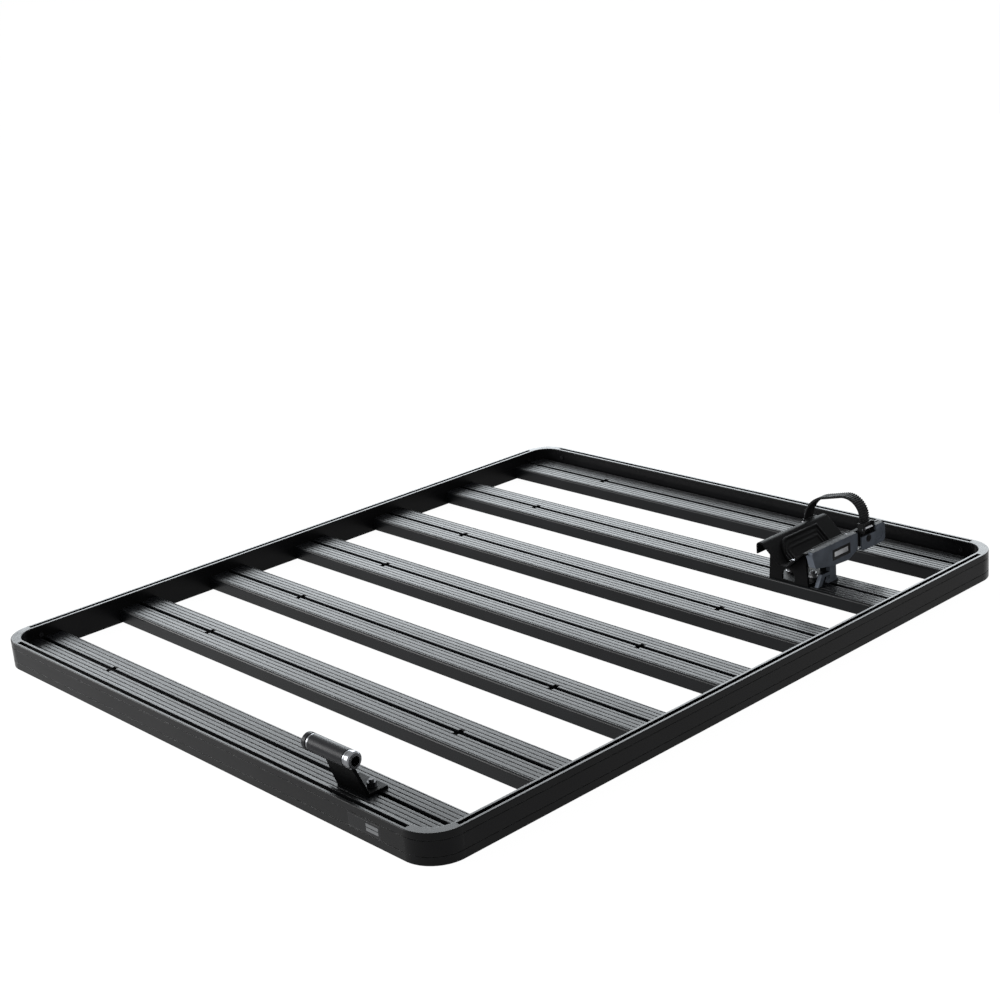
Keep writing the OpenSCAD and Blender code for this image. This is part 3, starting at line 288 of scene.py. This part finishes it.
# Nodes whose look isn't the one named after their slot
LOOK_OF_NODE = {
    "front_rail": "rail_x", "rear_rail": "rail_x", "left_rail": "rail_y", "right_rail": "rail_y",
    # The tray's studs, nuts and washers take the zinc looks with painted shade
    "tray_studs": "zinc_thread_shaded", "fork_studs": "black_thread",
    "tray_nuts": "zinc_dull_shaded", "tray_washers": "zinc_dull_shaded", "housing_screws": "zinc_dark",
}


def dress(obj, look):
    obj.data.materials.clear()
    obj.data.materials.append(looks[look].mat)


for name, obj in nodes.items():
    dress(obj, LOOK_OF_NODE.get(name, SLOT_OF[name]))


# New pieces

def bridge(bm, rows, closed=False):
    """Faces between closed rows of points that follow each other, and from the last to the first if closed."""
    pairs = list(zip(rows, rows[1:]))
    if closed:
        pairs.append((rows[-1], rows[0]))
    for one, two in pairs:
        for i in range(len(one)):
            k = (i + 1) % len(one)
            bm.faces.new((one[i], one[k], two[k], two[i]))


def cap(bm, rows):
    """Faces over the first and the last row."""
    bm.faces.new(rows[0])
    bm.faces.new(rows[-1])


def piece(name, bm, body, look, smooth=False):
    """A new object of the part, riding on a CAD body."""
    bmesh.ops.recalc_face_normals(bm, faces=bm.faces)
    mesh = bpy.data.meshes.new(name)
    bm.to_mesh(mesh)
    bm.free()
    if smooth:
        mesh.polygons.foreach_set("use_smooth", [True] * len(mesh.polygons))
    obj = bpy.data.objects.new(name, mesh)
    bpy.context.scene.collection.objects.link(obj)
    dress(obj, look)
    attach(obj, body)
    return obj


def coil(name, node, body):
    """Torsion spring in place of a plain sleeve: a helix of wire about the sleeve's Y axis."""
    wire, turns, turn_steps, wire_steps = 0.35 * MM, 4.5, 20, 10
    low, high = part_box(node)
    mid = (low + high) / 2
    radius = (high.x - low.x) / 2 - wire
    start, end = low.y + wire, high.y - wire
    steps = int(turns * turn_steps)
    points = []
    for i in range(steps + 1):
        turn = 2 * math.pi * turns * i / steps
        points.append(Vector((mid.x + radius * math.cos(turn), start + (end - start) * i / steps,
                              mid.z + radius * math.sin(turn))))
    angles = [2 * math.pi * k / wire_steps for k in range(wire_steps)]
    ring = [(wire * math.cos(a), wire * math.sin(a)) for a in angles]
    bm = bmesh.new()
    rows = []
    for i, point in enumerate(points):
        ahead = (points[min(i + 1, steps)] - points[max(i - 1, 0)]).normalized()
        out = Vector((point.x - mid.x, 0, point.z - mid.z)).normalized()
        up = ahead.cross(out)
        rows.append([bm.verts.new(point + out * a + up * b) for a, b in ring])
    bridge(bm, rows)
    cap(bm, rows)
    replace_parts(piece(name, bm, body, "zinc_steel", smooth=True), node)


def strap_piece():
    """The toothed strap: a band over two bends and a flat, then a tail, with an eye on the anchor pin."""
    thick, tooth, pitch, edge = 3 * MM, 1.5 * MM, 4.4 * MM, 0.5 * MM
    left_r, right_r, rise, tail_r = 54 * MM, 34.5 * MM, 29 * MM, 124 * MM
    tail_turn, smooth_turn, eye_turn = math.radians(10), math.radians(12), math.radians(4)
    smooth_steps, eye_steps, eye_gap, eye_wall = 3, 40, 0.2 * MM, 2.5 * MM
    # One tooth: shares of the pitch, and of the tooth's height there
    profile = ((0.2, 0.0), (0.25, 0.7), (0.33, 1.0), (0.71, 1.0), (0.79, 0.7), (0.84, 0.0))
    low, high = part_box("anchor_pin")
    anchor = (low + high) / 2
    pin_r = (high.z - low.z) / 2
    strap_low, strap_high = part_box("strap")
    mid_y = (strap_low.y + strap_high.y) / 2
    half = (strap_high.y - strap_low.y) / 2
    hinge = Vector((anchor.x, mid_y, anchor.z))
    left = hinge + Vector((left_r, 0, 0))
    right = hinge + Vector((tail_r - right_r, 0, rise))
    gap = right - left
    flat_turn = math.atan2(gap.z, gap.x) + math.acos((left_r - right_r) / gap.length)

    def way(turn):
        return Vector((math.cos(turn), 0, math.sin(turn)))

    def bend(centre, radius, start, end):
        """A function from 0 to 1 along a bend, which gives a point and the way out, and the outer length."""
        def at(s):
            out = way(start + (end - start) * s)
            return centre + out * radius, out
        return at, (radius + thick / 2) * abs(end - start)

    def straight(a, b, turn):
        return (lambda s: (a.lerp(b, s), way(turn))), (b - a).length

    runs = (
        bend(left, left_r, math.pi - smooth_turn, flat_turn),
        straight(left + way(flat_turn) * left_r, right + way(flat_turn) * right_r, flat_turn),
        bend(right, right_r, flat_turn, 0),
        straight(right + way(0) * right_r, hinge + way(0) * tail_r, 0),
        bend(hinge, tail_r, 0, -tail_turn),
    )
    smooth, _ = bend(left, left_r, math.pi - eye_turn, math.pi - smooth_turn)
    stations = [(*smooth(i / smooth_steps), 0.0) for i in range(smooth_steps + 1)]
    for at, length in runs:
        teeth = round(length / pitch)
        stations += [(*at((i + s) / teeth), h) for i in range(teeth) for s, h in profile]
    last_run, _ = runs[-1]
    stations.append((*last_run(1.0), 0.0))
    bm = bmesh.new()
    rows = []
    for point, out, share in stations:
        top = thick / 2 + tooth * share
        ring = [(half - edge, -thick / 2), (half, -thick / 2 + edge), (half, top - edge), (half - edge, top)]
        ring += [(-a, b) for a, b in reversed(ring)]
        rows.append([bm.verts.new(point + out * b + Vector((0, a, 0))) for a, b in ring])
    bridge(bm, rows)
    cap(bm, rows)
    bore, eye = pin_r + eye_gap, pin_r + eye_wall
    outline = [(bore, -half), (eye - edge, -half), (eye, -half + edge),
               (eye, half - edge), (eye - edge, half), (bore, half)]
    rings = []
    for k in range(eye_steps):
        out = way(2 * math.pi * k / eye_steps)
        rings.append([bm.verts.new(hinge + out * r + Vector((0, y, 0))) for r, y in outline])
    bridge(bm, rings, closed=True)
    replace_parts(piece("strap_band", bm, "strap", "strap_black"), "strap")


def liner_piece():
    """Firm rubber liner moulded into the cradle: it follows the folded sheet, with a raised rim and ribs."""
    mid_x, reach, probe_in, probe_above, probes = 350 * MM, 40 * MM, 12 * MM, 50 * MM, 240
    front_in, back_in, nose, nose_least, side_in = 22 * MM, 40 * MM, 34 * MM, 0.02, 1 * MM
    across, along, skin, sheet_gap, end_slope = 96, 110, 1.8 * MM, 0.05 * MM, 1.2
    # Rim and ribs: distance in from the outline, half width and height
    ridges = ((3.5 * MM, 3.5 * MM, 2.2 * MM), (13 * MM, 3 * MM, 0.9 * MM), (22 * MM, 3 * MM, 0.9 * MM))
    low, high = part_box("wheel_cradle")
    tree = BVHTree.FromObject(nodes["wheel_cradle"], bpy.context.evaluated_depsgraph_get())
    front, back = low.y + front_in, high.y - back_in
    section = []
    for i in range(-probes, probes + 1):
        above = Vector((mid_x + reach * i / probes, low.y + probe_in, high.z + probe_above))
        hit, _, _, _ = tree.ray_cast(above, Vector((0, 0, -1)))
        section.append((hit.x, hit.z))
    run = [0.0]
    for (x0, z0), (x1, z1) in zip(section, section[1:]):
        run.append(run[-1] + math.hypot(x1 - x0, z1 - z0))
    middle = run[-1] / 2

    def on_section(u):
        """Point and inward normal of the sheet at arc length u from its middle line."""
        at = min(max(u + middle, 0), run[-1])
        k = min(max(bisect.bisect(run, at) - 1, 1), len(run) - 3)
        f = (at - run[k]) / (run[k + 1] - run[k])
        x = section[k][0] + f * (section[k + 1][0] - section[k][0])
        z = section[k][1] + f * (section[k + 1][1] - section[k][1])
        dx, dz = section[k + 2][0] - section[k - 1][0], section[k + 2][1] - section[k - 1][1]
        size = math.hypot(dx, dz)
        return x, z, -dz / size, dx / size

    def height(s, y, half):
        inset = min((1 - abs(s)) * half, (y - front) * end_slope, (back - y) * end_slope)
        swell = (h * max(0.0, math.cos(math.pi / 2 * min(1, abs(inset - at) / w))) for at, w, h in ridges)
        return skin + sum(swell)

    bm = bmesh.new()
    top, base = [], []
    for j in range(along + 1):
        y = front + (back - front) * j / along
        lag = max(0.0, 1 - (y - front) / nose)
        half = (middle - side_in) * math.sqrt(max(nose_least, 1 - lag * lag))
        top.append([])
        base.append([])
        for i in range(across + 1):
            s = 2 * i / across - 1
            x, z, nx, nz = on_section(s * half)
            h = height(s, y, half)
            top[j].append(bm.verts.new((x + nx * h, y, z + nz * h)))
            base[j].append(bm.verts.new((x + nx * sheet_gap, y, z + nz * sheet_gap)))
    for j in range(along):
        for i in range(across):
            bm.faces.new((top[j][i], top[j][i + 1], top[j + 1][i + 1], top[j + 1][i]))
            bm.faces.new((base[j][i], base[j + 1][i], base[j + 1][i + 1], base[j][i + 1]))
        for i in (0, across):
            bm.faces.new((top[j][i], top[j + 1][i], base[j + 1][i], base[j][i]))
    for i in range(across):
        for j in (0, along):
            bm.faces.new((top[j][i], base[j][i], base[j][i + 1], top[j][i + 1]))
    piece("cradle_liner", bm, "wheel_tray", "liner_black", smooth=True)


def label_frame():
    """Dark frame around the bare label, in the housing's recess, with a low lip over the recess's edge."""
    rim, lap, slope, lip, proud, rest = 2.9 * MM, -1.0 * MM, 0.7 * MM, 4.6 * MM, 0.5 * MM, 0.02 * MM
    low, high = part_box("label_plate")
    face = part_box("buckle_housing")[1].x
    loops = ((lap, high.x), (lap, face - slope), (lap + slope, face + proud), (lip - proud, face + proud),
             (lip, face + rest), (rim, face + rest), (rim, high.x))
    bm = bmesh.new()
    rows = []
    for grow, x in loops:
        y0, y1, z0, z1 = low.y - grow, high.y + grow, low.z - grow, high.z + grow
        rows.append([bm.verts.new((x, y, z)) for y, z in ((y0, z0), (y1, z0), (y1, z1), (y0, z1))])
    bridge(bm, rows, closed=True)
    piece("label_frame", bm, "wheel_tray", "dark_plastic")


def button_bezel():
    """Dark ring set round the release button, on the lever's outer face."""
    outer, play, proud, edge, rest, steps = 6.8 * MM, 0.4 * MM, 0.6 * MM, 0.4 * MM, 0.02 * MM, 48
    low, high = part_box("release_button")
    mid = (low + high) / 2
    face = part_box("ratchet_lever")[1].x
    inner = (high.z - low.z) / 2 + play
    loops = ((inner, rest), (inner, proud - edge), (inner + edge, proud), (outer - edge, proud),
             (outer, proud - edge), (outer, rest))
    bm = bmesh.new()
    rows = []
    for k in range(steps):
        y, z = math.cos(2 * math.pi * k / steps), math.sin(2 * math.pi * k / steps)
        rows.append([bm.verts.new((face + x, mid.y + r * y, mid.z + r * z)) for r, x in loops])
    bridge(bm, rows, closed=True)
    piece("button_bezel", bm, "ratchet_lever", "dark_plastic")


def badge_foil():
    """Bare foil patch at the right end of the badge plate, with a line pressed across it."""
    gap, width, height, line, proud, edge = 4 * MM, 27 * MM, 12 * MM, 1.2 * MM, 0.25 * MM, 0.3 * MM
    low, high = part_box("badge_plate")
    x1, z0 = high.x - gap, low.z + gap
    x0 = x1 - width
    bm = bmesh.new()

    def loop(inset, y, bottom, top):
        corners = ((x0 + inset, bottom + inset), (x1 - inset, bottom + inset),
                   (x1 - inset, top - inset), (x0 + inset, top - inset))
        return [bm.verts.new((x, y, z)) for x, z in corners]

    for bottom, top in ((z0, z0 + (height - line) / 2), (z0 + (height + line) / 2, z0 + height)):
        rows = [loop(0, low.y + edge, bottom, top), loop(edge, low.y - proud, bottom, top)]
        bridge(bm, rows)
        cap(bm, rows)
    piece("badge_foil", bm, "rack", "foil")


badge_foil()
strap_piece()
liner_piece()
label_frame()
button_bezel()
coil("hold_spring_coil", "hold_spring", "wheel_tray")
coil("drive_spring_coil", "drive_spring", "ratchet_lever")


# Camera, fitted to the photo

RIGHT = Vector((0.68221854, 0.72686837, -0.07899524))
DOWN = Vector((0.17894437, -0.27074857, -0.94587215))
AHEAD = Vector((-0.70891239, 0.63115576, -0.31477869))
CAMERA_PLACE = (2.2505, -1.9916, 1.2154)
camera = bpy.data.objects.new("camera", bpy.data.cameras.new("camera"))
bpy.context.scene.collection.objects.link(camera)
turn = Matrix((RIGHT, -DOWN, -AHEAD)).transposed().to_4x4()
camera.matrix_world = Matrix.Translation(CAMERA_PLACE) @ turn
camera.data.sensor_width = 36
camera.data.lens = 65.23
camera.data.clip_end = 60
bpy.context.scene.camera = camera


# Lamps, world and floor

def area_light(name, place, aim, size, power, colour=(1, 1, 1)):
    data = bpy.data.lights.new(name, "AREA")
    data.color = colour
    data.shape = "RECTANGLE"
    data.size, data.size_y = size
    data.energy = power
    obj = bpy.data.objects.new(name, data)
    bpy.context.scene.collection.objects.link(obj)
    obj.location = place
    obj.rotation_euler = (Vector(aim) - Vector(place)).to_track_quat("-Z", "Y").to_euler()


area_light("key", place=(-2.2, -2.3, 1.0), aim=(0, -0.3, 0), size=(2.4, 1.4), power=125)
area_light("back", place=(-3.4, 4.8, 2.0), aim=(0, 0, 0), size=(9.0, 3.4), power=560, colour=(0.90, 0.96, 1.0))


def seen_white(tree, plain, white):
    """Mixes to the white shader for camera, glossy and transmission rays."""
    path = tree.nodes.new("ShaderNodeLightPath")
    total = path.outputs["Is Camera Ray"]
    for name in ("Is Glossy Ray", "Is Transmission Ray"):
        most = tree.nodes.new("ShaderNodeMath")
        most.operation = "MAXIMUM"
        tree.links.new(total, most.inputs[0])
        tree.links.new(path.outputs[name], most.inputs[1])
        total = most.outputs["Value"]
    mixed = tree.nodes.new("ShaderNodeMixShader")
    tree.links.new(total, mixed.inputs["Fac"])
    tree.links.new(plain, mixed.inputs[1])
    tree.links.new(white, mixed.inputs[2])
    return mixed.outputs["Shader"]


def glowing(tree, kind, strength):
    """Output of a white Background or Emission node."""
    node = tree.nodes.new("ShaderNode" + kind)
    node.inputs["Color"].default_value = (1, 1, 1, 1)
    node.inputs["Strength"].default_value = strength
    return node.outputs[kind]


FILL, WHITE = 0.35, 1.0
world = bpy.data.worlds.new("studio")
bpy.context.scene.world = world
world.use_nodes = True
sky = world.node_tree
sky.nodes.clear()
sky_out = sky.nodes.new("ShaderNodeOutputWorld")
seen_sky = seen_white(sky, glowing(sky, "Background", FILL), glowing(sky, "Background", WHITE))
sky.links.new(seen_sky, sky_out.inputs["Surface"])

FLOOR_HALF, FLOOR_Z, FLOOR_GREY = 30.0, -0.5 * MM, 0.80
GLOW, GLOW_SHARE = 1.085, 0.9  # the rest of what the camera sees is the lit floor, with the object's shadow
floor_mesh = bpy.data.meshes.new("floor")
corners = [(x * FLOOR_HALF, y * FLOOR_HALF, FLOOR_Z) for x, y in ((-1, -1), (1, -1), (1, 1), (-1, 1))]
floor_mesh.from_pydata(corners, [], [(0, 1, 2, 3)])
floor = bpy.data.objects.new("floor", floor_mesh)
bpy.context.scene.collection.objects.link(floor)
pale = bpy.data.materials.new("pale_floor")
pale.use_nodes = True
ground = pale.node_tree
ground.nodes.clear()
ground_out = ground.nodes.new("ShaderNodeOutputMaterial")
matt = ground.nodes.new("ShaderNodeBsdfDiffuse")
matt.inputs["Color"].default_value = (FLOOR_GREY, FLOOR_GREY, FLOOR_GREY, 1)
blend = ground.nodes.new("ShaderNodeMixShader")
blend.inputs["Fac"].default_value = GLOW_SHARE
ground.links.new(matt.outputs["BSDF"], blend.inputs[1])
ground.links.new(glowing(ground, "Emission", GLOW), blend.inputs[2])
seen_floor = seen_white(ground, matt.outputs["BSDF"], blend.outputs["Shader"])
ground.links.new(seen_floor, ground_out.inputs["Surface"])
floor_mesh.materials.append(pale)

bpy.context.scene.view_settings.view_transform = "Standard"
